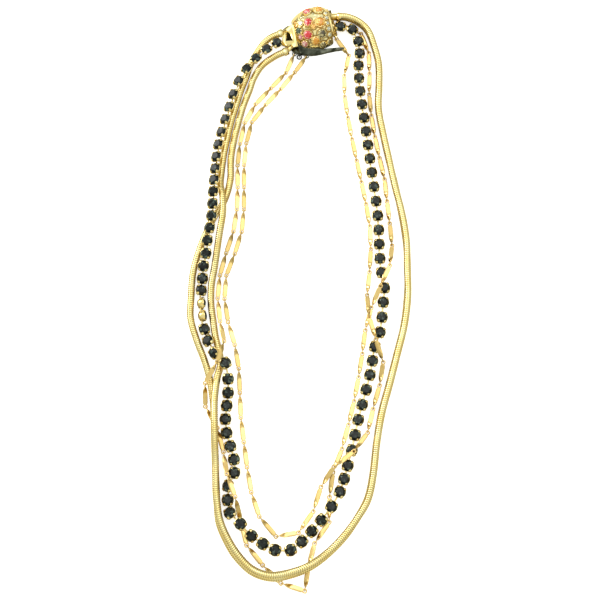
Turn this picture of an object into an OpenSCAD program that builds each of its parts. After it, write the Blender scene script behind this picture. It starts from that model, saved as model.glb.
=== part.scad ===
// Five-strand necklace lying closed in a loop, fastened by a domed barrel clasp. Units: millimetres.

/* [Snake chains] */
// Radius of the two round snake chains
snake_r = 1.35; // [0.8:0.05:1.8]
// Rings swept along each snake chain
snake_rings = 74; // [40:1:80]

/* [Bar chains] */
// Width of a twisted bar
bar_w = 1.8; // [1.2:0.1:2.4]
// Thickness of a twisted bar
bar_t = 0.36; // [0.3:0.02:0.6]
// Outer radius of a bar's end eye
eye_o = 0.98; // [0.8:0.02:1.1]
// Inner radius of a bar's end eye
eye_i = 0.61; // [0.45:0.01:0.65]
// Thickness of a bar's end eye
eye_t = 0.38; // [0.3:0.02:0.5]
// Distance between the centres of two linked eyes
eye_gap = 0.8; // [0.6:0.05:1.0]
// Share of a bar's length over which it twists
twist_end = 0.45; // [0.3:0.05:1.0]

/* [Rhinestone chain] */
// Radius of a stone's corners at its girdle
stone_r = 1.95; // [1.6:0.05:2.1]
// Outer radius of a cup over its prongs
cup_r = 2.15; // [1.9:0.05:2.3]
// Radius of the neck between two cups
neck_r = 0.2; // [0.15:0.01:0.3]
// Radius of the ball on the neck
ball_r = 0.42; // [0.3:0.02:0.45]
// Radius of the pocket that holds the ball
pocket_r = 0.54; // [0.42:0.02:0.6]

/* [Clasp] */
// Radius of the barrel at the middle of its length
barrel_r = 9.6; // [8:0.1:11]
// Radius of the barrel's lengthwise curve
barrel_arc = 13; // [12:0.5:40]
// Place along the barrel where it is widest
barrel_mid = 1.2; // [0:0.1:3]
// Thickness of the barrel's shell
shell = 1.2; // [0.8:0.1:2]
// Thickness of the back plate
plate_t = 1.5; // [1:0.1:2]
// Turn of the clasp about the vertical, in degrees
clasp_turn = 13; // [0:1:30]

/* [Hidden] */
clasp_at = [5, 103.35, 0];
axis_z = -1.7;
x_left = -7.8;
x_right = 6.6;

// Stones of the clasp: place along the barrel, angle about its axis, radius
seats = [[-1.3, 32, 1.6], [-2.1, -1, 1.6], [-3.2, -31, 1.7], [-5.9, -34, 1.0], [-4.9, 4, 1.1],
    [-6.1, -15, 1.3], [3.1, 29, 1.9], [2.4, -8, 1.8], [-0.4, -15, 0.9], [-0.6, -48, 1.55],
    [2.2, -35, 1.55], [2.1, -62, 1.3], [5.0, -60, 1.1], [-4.8, -54, 1.3], [5.5, 15, 0.75],
    [5.4, 1, 0.75], [5.3, -13, 0.75], [5.3, -27, 0.75], [5.3, -42, 0.75], [-6.9, 21, 0.5],
    [-6.9, 7, 0.5]];

// Snake chain that lies on the surface, from the clasp's right end round to its left end
outer_snake = [[15, 108, 1.8], [18.5, 108, 1.5], [23, 106, 1.4], [26.8, 102.2, 1.4], [29.3, 95.5, 1.4],
    [30.9, 88, 1.4], [30.9, 79, 1.4], [30.5, 69, 1.4], [32, 59, 1.4], [34, 48.5, 1.4],
    [36.5, 37, 1.4], [38.5, 26, 1.4], [40, 15, 1.4], [40.5, 4, 1.4], [40, -7, 1.4],
    [38.5, -18, 1.4], [35.5, -29.5, 1.4], [32.5, -40.5, 1.4], [29.5, -51, 1.4], [27.5, -62, 1.4],
    [26, -73, 1.4], [24, -81.5, 1.4], [20.5, -88, 1.4], [16, -94.5, 1.4], [9.5, -101, 2.0],
    [3, -105.5, 3.75], [-3.5, -108, 2.8], [-10, -109, 3.4], [-17, -107, 1.8], [-23, -101.5, 1.4],
    [-26.8, -95.3, 1.4], [-29, -90, 1.4], [-29.8, -84, 1.4], [-30.2, -78, 1.4], [-30.6, -72, 1.4],
    [-30.9, -66, 1.5], [-31.1, -60, 3.0], [-31.3, -53.5, 3.5], [-32, -46, 1.9], [-33.5, -38, 1.4],
    [-35.5, -31.5, 1.4], [-38.5, -24, 1.4], [-41, -15.5, 1.4], [-41, -7.5, 1.4], [-40.5, 2, 1.4],
    [-38, 12, 1.4], [-34, 22, 1.4], [-29.1, 31, 1.4], [-27.1, 39, 1.4], [-27, 47.5, 1.4],
    [-26, 55, 1.4], [-24.4, 62.5, 1.4], [-22.4, 70, 1.4], [-20.1, 76.5, 1.4], [-18.5, 81.5, 1.6],
    [-15.2, 86.7, 2.2], [-10, 90.5, 2.8], [-5.5, 92.5, 3.2]];

// Snake chain that rides on the first one down the right side and lies beside it on the left
inner_snake = [[15, 106.8, 4.8], [18.5, 106.8, 4.6], [23, 105, 4.3], [26.8, 101.2, 4.2], [29.3, 94, 4.2],
    [30.9, 86.5, 4.2], [30.9, 77.5, 4.2], [30.5, 67.5, 4.2], [32, 57.5, 4.2], [34, 47, 4.2],
    [36, 36, 4.2], [38.5, 25, 4.2], [40, 14, 4.2], [40, 3, 4.2], [40, -7.5, 4.2],
    [38.5, -18.5, 4.2], [35.5, -30, 4.2], [32.5, -41, 4.2], [29.5, -51.5, 4.2], [27.5, -62, 4.2],
    [26, -73.5, 4.2], [24, -82, 4.2], [20.5, -88, 4.2], [15.5, -94.5, 4.2], [9.5, -100.4, 4.9],
    [2.5, -105, 6.6], [-4, -107.2, 5.7], [-11, -108, 6.0], [-17.3, -105.7, 4.4], [-22.4, -100.6, 4.1],
    [-26.2, -94.6, 4.1], [-28.6, -89, 4.1], [-29.6, -83.5, 4.2], [-30.1, -79, 4.2], [-30.3, -74, 4.2],
    [-30.5, -68.5, 4.3], [-30.8, -61, 5.8], [-31, -54, 6.3], [-31.2, -46, 4.9], [-30.5, -38.5, 3.3],
    [-29.5, -33, 1.5], [-30, -28.5, 1.4], [-31.5, -23, 1.4], [-32.5, -17, 1.4], [-33.5, -10, 1.4],
    [-33.5, -3, 1.4], [-32.5, 3.5, 1.9], [-31.5, 10.5, 3.0], [-30.5, 17.5, 4.1], [-29.5, 24.5, 4.4],
    [-29.7, 31.5, 4.3], [-30.7, 36.5, 2.8], [-30.6, 41.5, 1.5], [-29.7, 50, 1.4], [-28.5, 56.5, 1.4],
    [-27.3, 62.5, 1.4], [-25.3, 70, 1.4], [-23.3, 77, 1.4], [-21.5, 82, 1.4], [-20, 87, 1.4],
    [-18, 91.5, 1.4], [-15, 96, 2], [-12, 98.5, 2.8], [-7.5, 100.5, 3.2]];

// Bar chain that crosses the snakes, from the clasp's left end round to its right end
outer_bars = [[-2.4, 92.4, 1.05], [-3.5, 87.5, 1.05], [-9, 80.5, 1.05], [-14.5, 74.5, 1.05],
    [-20.5, 66.5, 1.05], [-23.2, 56.5, 1.05], [-24.4, 45, 1.05], [-24.2, 33, 1.05], [-25, 21, 1.05],
    [-28, 10.5, 1.05], [-30.5, 0.5, 1.05], [-31, -10, 1.05], [-29.7, -18, 1.7],
    [-28.1, -25, 4.4], [-28.8, -30, 6.4], [-31.4, -35, 6.8], [-34.3, -39.5, 5.5],
    [-35.5, -45, 2.6], [-34, -50.5, 1.05], [-30, -57, 1.05], [-28.7, -62.5, 1.05], [-27.5, -66.5, 1.2],
    [-27, -71, 3.1], [-25.5, -75, 5.3], [-23.7, -79.5, 5.3], [-21.8, -86, 2.2], [-21, -91, 1.05],
    [-18.5, -99, 1.05], [-13, -105, 1.05], [-8, -110, 1.05], [-3, -113, 1.05], [1.5, -113.5, 1.05],
    [4, -110.5, 1.05], [2.5, -104.5, 1.05], [3.5, -99.5, 1.05], [8, -93.5, 1.05],
    [10.8, -88.5, 1.05], [11, -84.5, 1.05], [10.2, -79.5, 1.05], [11.5, -73, 1.05], [15, -64, 1.05],
    [17.7, -54, 1.05], [20.2, -44, 1.05], [22, -34, 1.05], [23.5, -25, 1.05], [24.5, -17.5, 1.05], [26.5, -11.5, 1.2],
    [29.3, -5, 4.2], [32.5, 1.5, 4.6], [34.5, 8, 2.5], [34.7, 15, 1.2], [33.5, 27, 1.05],
    [32.5, 39, 1.05], [30, 51.5, 1.05], [28, 64, 1.05], [27, 77, 1.05], [27.5, 89, 1.05],
    [25.9, 98.3, 1.05], [21.5, 103.8, 1.05], [16.5, 105, 1.05]];

// Bar chain on the inside of the loop
inner_bars = [[2.5, 91.45, 1.05], [1.5, 87.2, 1.05], [-4, 83, 1.05], [-9, 75.5, 1.05],
    [-15.5, 68.5, 1.05], [-19.5, 62, 1.05], [-21.4, 52, 1.05], [-21.9, 42, 1.05], [-21.6, 30, 1.05],
    [-22.3, 19, 1.05], [-24.8, 10, 1.05], [-28, 1, 1.05], [-28.5, -8, 1.05], [-27, -17, 1.05],
    [-24, -27, 1.05], [-22.5, -37, 1.05], [-22, -50, 1.05], [-20.5, -62, 1.05], [-18.3, -76, 1.05],
    [-15.7, -86, 1.05], [-10.8, -92.9, 1.05], [-6, -96.2, 1.05], [-1.5, -94.2, 1.05], [3, -89, 1.05],
    [6.2, -82, 1.05], [8, -75.5, 1.4], [11, -71.5, 3.6], [14.5, -68.5, 4.2], [18.5, -65.7, 4.2],
    [22.3, -62, 4.0], [24.8, -57, 1.7], [26.5, -49.5, 1.1], [29, -41, 1.3], [30.5, -35, 1.3],
    [30, -30.5, 4.1], [28, -25, 4.3], [26, -18.5, 3.9], [25.2, -13, 3.0], [25, -6.5, 1.4],
    [26.5, 7, 1.05], [26.5, 20, 1.05], [24.5, 33, 1.05], [22, 46, 1.05], [19.5, 59.5, 1.05],
    [17.5, 73, 1.05], [17, 81, 1.05], [19, 89, 1.05], [19, 93.8, 1.05], [17.3, 96.9, 1.05],
    [14.5, 98.8, 1.05]];

// Rhinestone chain: number of the stone, its place, its lean outwards in degrees
cups = [[0, -9.5, 95.5, 3.5, 0], [1, -13.5, 92.5, 4.0, 5], [2, -17.5, 88.5, 4.2, 10],
    [3, -21, 84, 4.1, 16], [4, -24, 79, 3.8, 20], [5, -26, 73.5, 3.5, 24], [7, -29, 63, 3.4, 25],
    [9, -31.5, 52.5, 3.5, 25], [11, -32.5, 42.5, 3.9, 22], [13, -33, 33, 4.6, 16],
    [15, -33.5, 23.5, 4.0, 12], [17, -35, 13.8, 3.8, 8], [18, -35.5, 9, 3.2, 4],
    [19, -36.5, 4.4, 2.2, 0], [20, -37, -0.3, 1.3, -10], [21, -37.5, -5.1, 1.3, -20],
    [22, -37.5, -10.1, 2.6, -110], [23, -37, -15, 2.6, -110], [24, -36, -20, 1.6, -20],
    [25, -34, -24.5, 2.4, 15], [26, -31.5, -29, 3.5, 40], [27, -27.5, -33, 3.8, 0],
    [28, -26.5, -38.5, 2.6, 0], [29, -26.5, -43.5, 1.1, 0], [31, -27.3, -53.3, 1.1, 0],
    [32, -26.8, -58.3, 1.05, 0], [34, -24, -67.8, 1.0, 0], [35, -23.8, -72.6, 1.0, 0],
    [36, -25.7, -77.3, 1.25, 20], [37, -26, -82.2, 1.0, 0], [38, -25, -86.9, 1.8, 0], [39, -21.2, -90.5, 3.4, 0],
    [40, -17.5, -94.5, 1.9, 0], [42, -9, -99.5, 0.95, 0], [43, -3.5, -99.5, 1.0, 0],
    [45, 4, -93, 1.0, 0], [46, 7.5, -89, 1.5, 0], [47, 11, -84.5, 2.9, 0],
    [48, 14, -79.5, 1.5, 0], [50, 17, -70, 0.95, 0], [51, 18.5, -64.5, 0.95, 0],
    [53, 21, -53.5, 0.95, 0], [56, 25.5, -37, 0.95, 0], [58, 27.5, -26.5, 0.95, 0],
    [59, 29.5, -21, 0.95, 0], [61, 31, -9.5, 0.95, 0], [62, 31.5, -4, 0.95, 0],
    [63, 30.5, 2, 0.95, 0], [64, 30, 7.5, 0.95, 0], [67, 29.5, 24.5, 0.95, 0],
    [70, 27.5, 42, 0.95, 0], [73, 25.5, 59, 0.95, 0], [76, 23.5, 76, 0.95, 0],
    [78, 23, 87, 0.95, 0], [79, 23.5, 92.2, 1.1, 0], [80, 23, 97.3, 1.6, 0],
    [81, 20.5, 101.8, 2.8, 0], [82, 15.8, 102.8, 3.2, 0]];

// Lean of a bar's first end at each joint: flat in the middle where a strand lies over or under it
outer_lean = [[0, -90], [60, -90]];
inner_lean = [[0, -90], [60, -90]];
outer_links = 52;
inner_links = 46;

function unit(v) = v / norm(v);
function steps(p) = [for (i = 0, s = 0; i < len(p); s = i + 1 < len(p) ? s + norm(p[i + 1] - p[i]) : s, i = i + 1) s];
function part_of(k, u) = min(len(k) - 2, max(0, len([for (x = k) if (x <= u) 1]) - 1));
function slope(p, k, i) = (p[min(i + 1, len(p) - 1)] - p[max(i - 1, 0)]) / (k[min(i + 1, len(k) - 1)] - k[max(i - 1, 0)]);
function curve(p, k, u) = let (i = part_of(k, u), h = k[i + 1] - k[i], t = (u - k[i]) / h)
    p[i] * (2 * t * t * t - 3 * t * t + 1) + slope(p, k, i) * h * (t * t * t - 2 * t * t + t)
    + p[i + 1] * (3 * t * t - 2 * t * t * t) + slope(p, k, i + 1) * h * (t * t * t - t * t);
function spread(p, n) = let (k = steps(p), m = k[len(k) - 1]) [for (i = [0:n]) curve(p, k, m * i / n)];
function level(d) = unit(cross([0, 0, 1], d));

// A frame with its x along d and its y in the plane turned by lean about d
function turned(d, lean) = let (s = level(d), u = cross(d, s)) cos(lean) * s + sin(lean) * u;
function frame(x, y, o) = let (z = cross(x, y))
    [[x[0], y[0], z[0], o[0]], [x[1], y[1], z[1], o[1]], [x[2], y[2], z[2], o[2]], [0, 0, 0, 1]];

module between(a, b, r) {
    d = b - a;
    translate(a)
        rotate([0, acos(d[2] / norm(d)), atan2(d[1], d[0])])
            cylinder(h = norm(d), r = r, $fn = 20);
}

module sweep(c, r, sides) {
    n = len(c);
    dirs = [for (i = [0:n - 1]) unit(c[min(i + 1, n - 1)] - c[max(i - 1, 0)])];
    points = [for (i = [0:n - 1]) for (j = [0:sides - 1])
        c[i] + r * (cos(360 * (j + 0.5) / sides) * level(dirs[i])
            + sin(360 * (j + 0.5) / sides) * cross(dirs[i], level(dirs[i])))];
    walls = [for (i = [0:n - 2]) for (j = [0:sides - 1]) let (a = i * sides + j, b = i * sides + (j + 1) % sides)
        each [[a, a + sides, b + sides], [a, b + sides, b]]];
    first = [for (j = [0:sides - 1]) j];
    last = [for (j = [0:sides - 1]) n * sides - 1 - j];
    polyhedron(points, concat(walls, [first, last]));
}

// Bar chains

module eye(c, d, y) {
    multmatrix(frame(d, y, c))
        difference() {
            translate([0, 0, -eye_t / 2])
                cylinder(h = eye_t, r = eye_o, $fn = 24);
            translate([0, 0, -1])
                cylinder(h = 2, r = eye_i, $fn = 24);
        }
}

module strip(a, b, d, lean_a, lean_b) {
    l = norm(b - a);
    at = [0.76, 1.4, l * 0.3, l * 0.45, l * 0.7, l - 1.4, l - 0.76];
    w = [0.5, bar_w / 2, bar_w / 2, bar_w / 2, bar_w / 2, bar_w / 2, 0.5];
    points = [for (i = [0:6]) let (lean = lean_a + (lean_b - lean_a) * min(0.96, at[i] / l / twist_end),
        y = turned(d, lean), z = cross(d, y))
        each [for (q = [[1, 1], [-1, 1], [-1, -1], [1, -1]]) a + d * at[i] + y * q[0] * w[i] + z * q[1] * bar_t / 2]];
    walls = [for (i = [0:5]) for (j = [0:3]) let (m = i * 4 + j, n = i * 4 + (j + 1) % 4)
        each [[m, m + 4, n + 4], [m, n + 4, n]]];
    polyhedron(points, concat(walls, [[0, 1, 2, 3], [27, 26, 25, 24]]));
}

// Each bar as [centre of its first eye, centre of its last eye, direction]; its first eye is centred
// on the wire of the eye before it, whose plane has the normal m
function in_plane(v, m) = unit(v - m * (v * m));
function linked(j, leans, i, m) = let (p = j[i] + eye_gap * in_plane(j[i + 1] - j[i], m), d = unit(j[i + 1] - p))
    concat([[p, j[i + 1], d]], i + 2 < len(j)
        ? linked(j, leans, i + 1, cross(d, turned(d, lookup(i + 1, leans) + 90))) : []);

module bars(route, n, leans) {
    links = linked(spread(route, n), leans, 0, [0, 0, 1]);
    for (i = [0:n - 1]) {
        b = links[i];
        eye(b[0], b[2], turned(b[2], lookup(i, leans)));
        eye(b[1], b[2], turned(b[2], lookup(i + 1, leans) + 90));
        strip(b[0], b[1], b[2], lookup(i, leans), lookup(i + 1, leans) + 90);
    }
}

// Rhinestone chain

cup_rows = [for (r = cups) [r[1], r[2], r[3]]];
cup_keys = [for (r = cups) r[0]];
cup_leans = [for (r = cups) [r[0], r[4]]];
last_cup = 82;
function cup_at(i) = curve(cup_rows, cup_keys, i);
function cup_dir(i) = unit(curve(cup_rows, cup_keys, min(i + 0.5, last_cup)) - curve(cup_rows, cup_keys, max(i - 0.5, 0)));
function cup_side(i) = let (f = lookup(i, cup_leans), d = cup_dir(i), s = level(d)) cos(f) * s + sin(f) * cross(d, s);
function cup_ball(i) = cup_at(i) - cup_dir(i);

module cup_body(i) {
    multmatrix(frame(cup_dir(i), cup_side(i), cup_at(i))) {
        translate([0, 0, -0.9])
            cylinder(h = 1.5, r1 = 1.1, r2 = 2.02, $fn = 24);
        for (q = [45, 135, 225, 315])
            rotate([0, 0, q])
                translate([cup_r - 0.5, -0.26, 0.25])
                    cube([0.48, 0.52, 1.5]);
        rotate([0, 0, 22.5])
            translate([0, 0, 0.5])
                cylinder(h = 0.75, r = stone_r, $fn = 8);
        rotate([0, 0, 22.5])
            translate([0, 0, 1.25])
                cylinder(h = 0.8, r1 = stone_r, r2 = 1.15, $fn = 8);
    }
}

module cup(i, before, ball) {
    difference() {
        cup_body(i);
        translate(cup_ball(i))
            sphere(r = pocket_r, $fn = 24);
        between(cup_ball(i), cup_ball(i) + 1.7 * unit(before - cup_ball(i)), 0.33);
    }
    between(cup_at(i), ball, neck_r);
    translate(ball)
        sphere(r = ball_r, $fn = 24);
}

left_anchor = [-6.2, 96.2, 3.3];
right_ball = [12.9, 103.4, 3.2];

module cup_run(first, last) {
    for (i = [first:last])
        cup(i, i == 0 ? left_anchor : cup_at(i - 1), i == last_cup ? right_ball : cup_ball(i + 1));
}

// Clasp, in a frame with x along the barrel

module clasp_place() {
    translate(clasp_at)
        rotate([0, 0, clasp_turn])
            children();
}

function bulge(x) = barrel_r - barrel_arc + sqrt(pow(barrel_arc, 2) - pow(x - barrel_mid, 2));

module barrel(inset, from, to) {
    translate([0, 0, axis_z])
        rotate([0, 90, 0])
            rotate_extrude($fn = 72)
                intersection() {
                    translate([barrel_r - barrel_arc, barrel_mid])
                        circle(r = barrel_arc - inset, $fn = 120);
                    translate([0, from])
                        square([20, to - from]);
                }
}

module seat(s) {
    translate([0, 0, axis_z])
        rotate([-s[1], 0, 0])
            translate([s[0], 0, bulge(s[0])])
                rotate([0, asin((s[0] - barrel_mid) / barrel_arc), 0])
                    children();
}

module clasp_dome() color("gold") clasp_place() {
    difference() {
        union() {
            difference() {
                barrel(0, x_left, x_right);
                barrel(shell, x_left + 1, x_right - 1);
                translate([-20, -20, -40])
                    cube([40, 40, 40 + plate_t]);
            }
            for (s = seats)
                seat(s)
                    translate([0, 0, -1.1])
                        cylinder(h = 1.35, r = s[2] + 0.28, $fn = 32);
        }
        for (s = seats)
            seat(s)
                translate([0, 0, -0.75])
                    cylinder(h = 3, r = s[2] + 0.03, $fn = 32);
        translate([-20, -20, -40])
            cube([40, 40, 40 + plate_t]);
        translate([x_left - 5, -15, 0])
            cube([5, 30, 20]);
        translate([x_right, -15, 0])
            cube([5, 30, 20]);
    }
}

module clasp_gem(i) {
    s = seats[i];
    clasp_place()
        seat(s) {
            translate([0, 0, -0.75])
                cylinder(h = 0.6, r1 = s[2] * 0.5, r2 = s[2], $fn = 8);
            translate([0, 0, -0.15])
                cylinder(h = 0.35, r = s[2], $fn = 8);
            translate([0, 0, 0.2])
                cylinder(h = 0.36 * s[2], r1 = s[2], r2 = s[2] * 0.58, $fn = 8);
        }
}

module clasp_bead(i) {
    s = seats[i];
    clasp_place()
        seat(s) {
            translate([0, 0, -0.75])
                cylinder(h = 0.85, r = s[2], $fn = 24);
            translate([0, 0, 0.1])
                sphere(r = s[2], $fn = 24);
        }
}

// Half the width of the barrel's foot at x
function foot(x) = sqrt(pow(bulge(x), 2) - pow(plate_t - axis_z, 2)) - 0.1;

module clasp_back() color("dimgray") {
    clasp_place()
        linear_extrude(plate_t)
            polygon([for (x = [x_left:(x_right - x_left) / 10:x_right + 0.01]) [x, foot(x)],
                for (x = [x_right:(x_left - x_right) / 10:x_left - 0.01]) [x, -foot(x)]]);
    linear_extrude(plate_t)
        polygon([[-4.2, 95.4], [-3.9, 94.6], [-3, 93.6], [-2, 92.9], [-0.8, 92.5], [0.6, 92.2], [2.2, 92], [4, 91.9],
            [5.8, 92], [8.2, 92.5], [11.2, 93.3], [14.3, 94], [17.2, 94.4], [17.2, 95.1], [13.7, 94.9], [11, 94.6],
            [8.6, 94.4], [7.5, 97], [0.5, 97], [-1.4, 95.8]]);
    eye([-2.4, 92.4, 1.05], [0, -1, 0], [1, 0, 0]);
    eye([2.5, 91.45, 1.05], [0, -1, 0], [1, 0, 0]);
    eye([-0.5, 91.95, 1.0], [0, -1, 0], [0, 0, 1]);
}

// Ways in which a snake chain leaves its two ends
function first_way(p) = let (c = spread(p, snake_rings)) unit(c[1] - c[0]);
function last_way(p) = let (c = spread(p, snake_rings)) unit(c[snake_rings - 1] - c[snake_rings]);

module cap(p, d, back, front) {
    difference() {
        between(p - d * back, p + d * front, snake_r + 0.22);
        between(p, p + d * (front + 1), snake_r + 0.05);
    }
}

module end_frame_left() color("gold") {
    difference() {
        union() {
            translate([0, 0, 2.4])
                linear_extrude(1.2)
                    polygon([[-2.6, 104], [-1, 97], [-0.9, 94.6], [-3.2, 93.9], [-7.3, 95.1], [-7.2, 101.6],
                        [-5.4, 103.2]]);
            between([-5.2, 92.8, 3.2], [-3.4, 94.6, 3.0], 0.95);
            between([-7.2, 100.6, 3.2], [-5.6, 101.1, 3.1], 0.95);
            cap([-5.5, 92.5, 3.2], last_way(outer_snake), 0.5, 1.2);
            cap([-7.5, 100.5, 3.2], last_way(inner_snake), 0.5, 1.2);
        }
        translate([0, 0, 2.7])
            linear_extrude(5)
                polygon([[-5.2, 101.2], [-5.9, 96.7], [-2.9, 96.9], [-4.3, 100.4]]);
        clasp_place()
            translate([x_left, -12, 0])
                cube([10, 24, 10]);
    }
    between(cup_ball(0), left_anchor, neck_r);
    translate(cup_ball(0))
        sphere(r = ball_r, $fn = 24);
}

module end_bar_right() color("gold") {
    difference() {
        union() {
            clasp_place() {
                translate([x_right, -5.1, 0.7])
                    cube([2.2, 11.1, 1.4]);
                intersection() {
                    translate([x_right, -5.1, 0.7])
                        cube([0.7, 11.1, 6.4]);
                    translate([x_right, 0, axis_z])
                        rotate([0, 90, 0])
                            cylinder(h = 0.7, r = bulge(x_right) - 0.4, $fn = 72);
                }
            }
            translate(right_ball)
                sphere(r = 0.9, $fn = 32);
            between([11.2, 107.8, 1.9], [14.8, 108, 1.8], 1.2);
            between([11.2, 106.8, 4.6], [14.8, 106.8, 4.8], 1.2);
            cap([15, 108, 1.8], first_way(outer_snake), 0.5, 1.2);
            cap([15, 106.8, 4.8], first_way(inner_snake), 0.5, 1.2);
        }
        translate(right_ball)
            sphere(r = pocket_r, $fn = 24);
        between(right_ball, right_ball + 1.7 * unit(cup_at(last_cup) - right_ball), 0.33);
        clasp_place()
            translate([x_right - 10, -12, 0])
                cube([10, 24, 10]);
    }
    eye([15.7, 105.1, 1.05], unit([5, -0.5, 0]), [0, 0, 1]);
    between([13.2, 105.2, 1.2], [14.9, 105.15, 1.05], 0.4);
    eye([14.1, 99.5, 1.05], unit([0.5, -0.87, 0]), [0, 0, 1]);
}

module ring_hook() color("gray")
    translate([-0.5, 91, 1.0])
        rotate_extrude($fn = 40)
            translate([0.85, 0])
                circle(r = 0.25, $fn = 16);

module rhinestone_chain_left() color("black") cup_run(0, 41);

module rhinestone_chain_right() color("black") cup_run(42, last_cup);

module bar_chain_outer() color("gold") bars(outer_bars, outer_links, outer_lean);

module bar_chain_inner() color("gold") bars(inner_bars, inner_links, inner_lean);

module snake_chain_outer() color("goldenrod") sweep(spread(outer_snake, snake_rings), snake_r, 8);

module snake_chain_inner() color("goldenrod") sweep(spread(inner_snake, snake_rings), snake_r, 8);

// Middle of the whole box over the origin
module laid() translate([0.34, 0.82, 0]) children();

laid() clasp_dome();
laid() clasp_back();
laid() end_frame_left();
laid() end_bar_right();
laid() ring_hook();
laid() color("red") clasp_gem(0);  // stone_red_1
laid() color("red") clasp_gem(1);  // stone_red_2
laid() color("red") clasp_gem(2);  // stone_red_3
laid() color("pink") clasp_gem(3);  // stone_pink_1
laid() color("white") clasp_gem(4);  // stone_white_1
laid() color("olive") clasp_gem(5);  // stone_green_1
laid() color("orange") clasp_gem(6);  // stone_orange_1
laid() color("orange") clasp_gem(7);  // stone_orange_2
laid() color("orange") clasp_gem(8);  // stone_orange_3
laid() color("orange") clasp_gem(9);  // stone_orange_4
laid() color("gray") clasp_gem(10);  // stone_smoke_1
laid() color("gray") clasp_gem(11);  // stone_smoke_2
laid() color("gray") clasp_gem(12);  // stone_smoke_3
laid() color("mistyrose") clasp_gem(13);  // stone_blush_1
laid() color("white") clasp_gem(14);  // stone_clear_1
laid() color("white") clasp_gem(15);  // stone_clear_2
laid() color("white") clasp_gem(16);  // stone_clear_3
laid() color("white") clasp_gem(17);  // stone_clear_4
laid() color("white") clasp_gem(18);  // stone_clear_5
laid() color("orange") clasp_bead(19);  // bead_amber_1
laid() color("orange") clasp_bead(20);  // bead_amber_2
laid() rhinestone_chain_left();
laid() rhinestone_chain_right();
laid() bar_chain_outer();
laid() bar_chain_inner();
laid() snake_chain_outer();
laid() snake_chain_inner();
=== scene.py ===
"""Five-strand necklace on a domed clasp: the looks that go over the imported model.

Tables and sizes are in millimetres; piece() makes its meshes in metres.
"""
import math

import bmesh
import bpy
import numpy as np
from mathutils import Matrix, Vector


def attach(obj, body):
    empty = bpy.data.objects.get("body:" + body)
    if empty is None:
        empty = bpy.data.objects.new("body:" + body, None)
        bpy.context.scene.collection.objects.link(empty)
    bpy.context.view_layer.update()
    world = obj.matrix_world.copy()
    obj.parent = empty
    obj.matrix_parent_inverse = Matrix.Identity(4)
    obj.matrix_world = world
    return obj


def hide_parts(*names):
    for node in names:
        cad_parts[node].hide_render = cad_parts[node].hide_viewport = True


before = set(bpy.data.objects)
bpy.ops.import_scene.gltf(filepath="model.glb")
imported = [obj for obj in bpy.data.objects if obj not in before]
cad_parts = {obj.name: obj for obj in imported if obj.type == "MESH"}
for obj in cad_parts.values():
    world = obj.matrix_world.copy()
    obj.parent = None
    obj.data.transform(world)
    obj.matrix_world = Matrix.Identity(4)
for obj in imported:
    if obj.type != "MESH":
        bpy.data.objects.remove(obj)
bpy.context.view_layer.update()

MM = 0.001

# Where the tables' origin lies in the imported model
LAID = np.array([0.34, 0.82, 0.0])


def placed(name, data):
    """A new object of the scene with this data."""
    obj = bpy.data.objects.new(name, data)
    bpy.context.scene.collection.objects.link(obj)
    return obj


# Camera at the photograph's angle: degrees off the vertical, metres from the middle of the loop
CAMERA_LEAN, CAMERA_RANGE, CAMERA_LENS = 13.5, 0.3774, 59.84

camera = placed("camera", bpy.data.cameras.new("camera"))
camera.data.lens = CAMERA_LENS
camera.data.clip_start = 0.01
camera.data.clip_end = 30.0
lean = math.radians(CAMERA_LEAN)
aim = Vector((0.34, -8.19, 0.0)) * MM
camera.location = aim + Vector((0.0, -math.sin(lean), math.cos(lean))) * CAMERA_RANGE
camera.rotation_euler = (aim - camera.location).to_track_quat("-Z", "Y").to_euler()
bpy.context.scene.camera = camera

# Sizes shared with the solids

SNAKE_R = 1.33
OUTER_LINKS, INNER_LINKS = 52, 46

# A bar's width and thickness, and the share of its length over which it turns
BAR_W, BAR_T, TWIST_END = 1.8, 0.36, 0.45

# An upright eye's outer and inner radius and thickness, and how far apart two joined eyes' centres are
EYE_O, EYE_I, EYE_T, EYE_GAP = 0.98, 0.61, 0.38, 0.8

# How many cups, their necks' radius, and where the last neck ends
CUP_COUNT, NECK_R, RIGHT_BALL = 83, 0.2, np.array([12.9, 103.4, 3.2])

# The barrel's largest radius, the radius of its lengthwise arc and where it is widest; the height of
# its axis and of the back plate's top; its ends, its turn in degrees and its place
BARREL_R, BARREL_ARC, BARREL_MID = 9.6, 13.0, 1.2
AXIS_Z, PLATE_T = -1.7, 1.5
X_LEFT, X_RIGHT, CLASP_TURN = -7.8, 6.6, 13.0
CLASP_AT = np.array([5.0, 103.35, 0.0])

# Clasp stones: place along the barrel, angle about its axis, radius
SEATS = np.array([
    [-1.3, 32, 1.6], [-2.1, -1, 1.6], [-3.2, -31, 1.7], [-5.9, -34, 1.0], [-4.9, 4, 1.1],
    [-6.1, -15, 1.3], [3.1, 29, 1.9], [2.4, -8, 1.8], [-0.4, -15, 0.9], [-0.6, -48, 1.55],
    [2.2, -35, 1.55], [2.1, -62, 1.3], [5.0, -60, 1.1], [-4.8, -54, 1.3], [5.5, 15, 0.75],
    [5.4, 1, 0.75], [5.3, -13, 0.75], [5.3, -27, 0.75], [5.3, -42, 0.75], [-6.9, 21, 0.5],
    [-6.9, 7, 0.5]])

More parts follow.
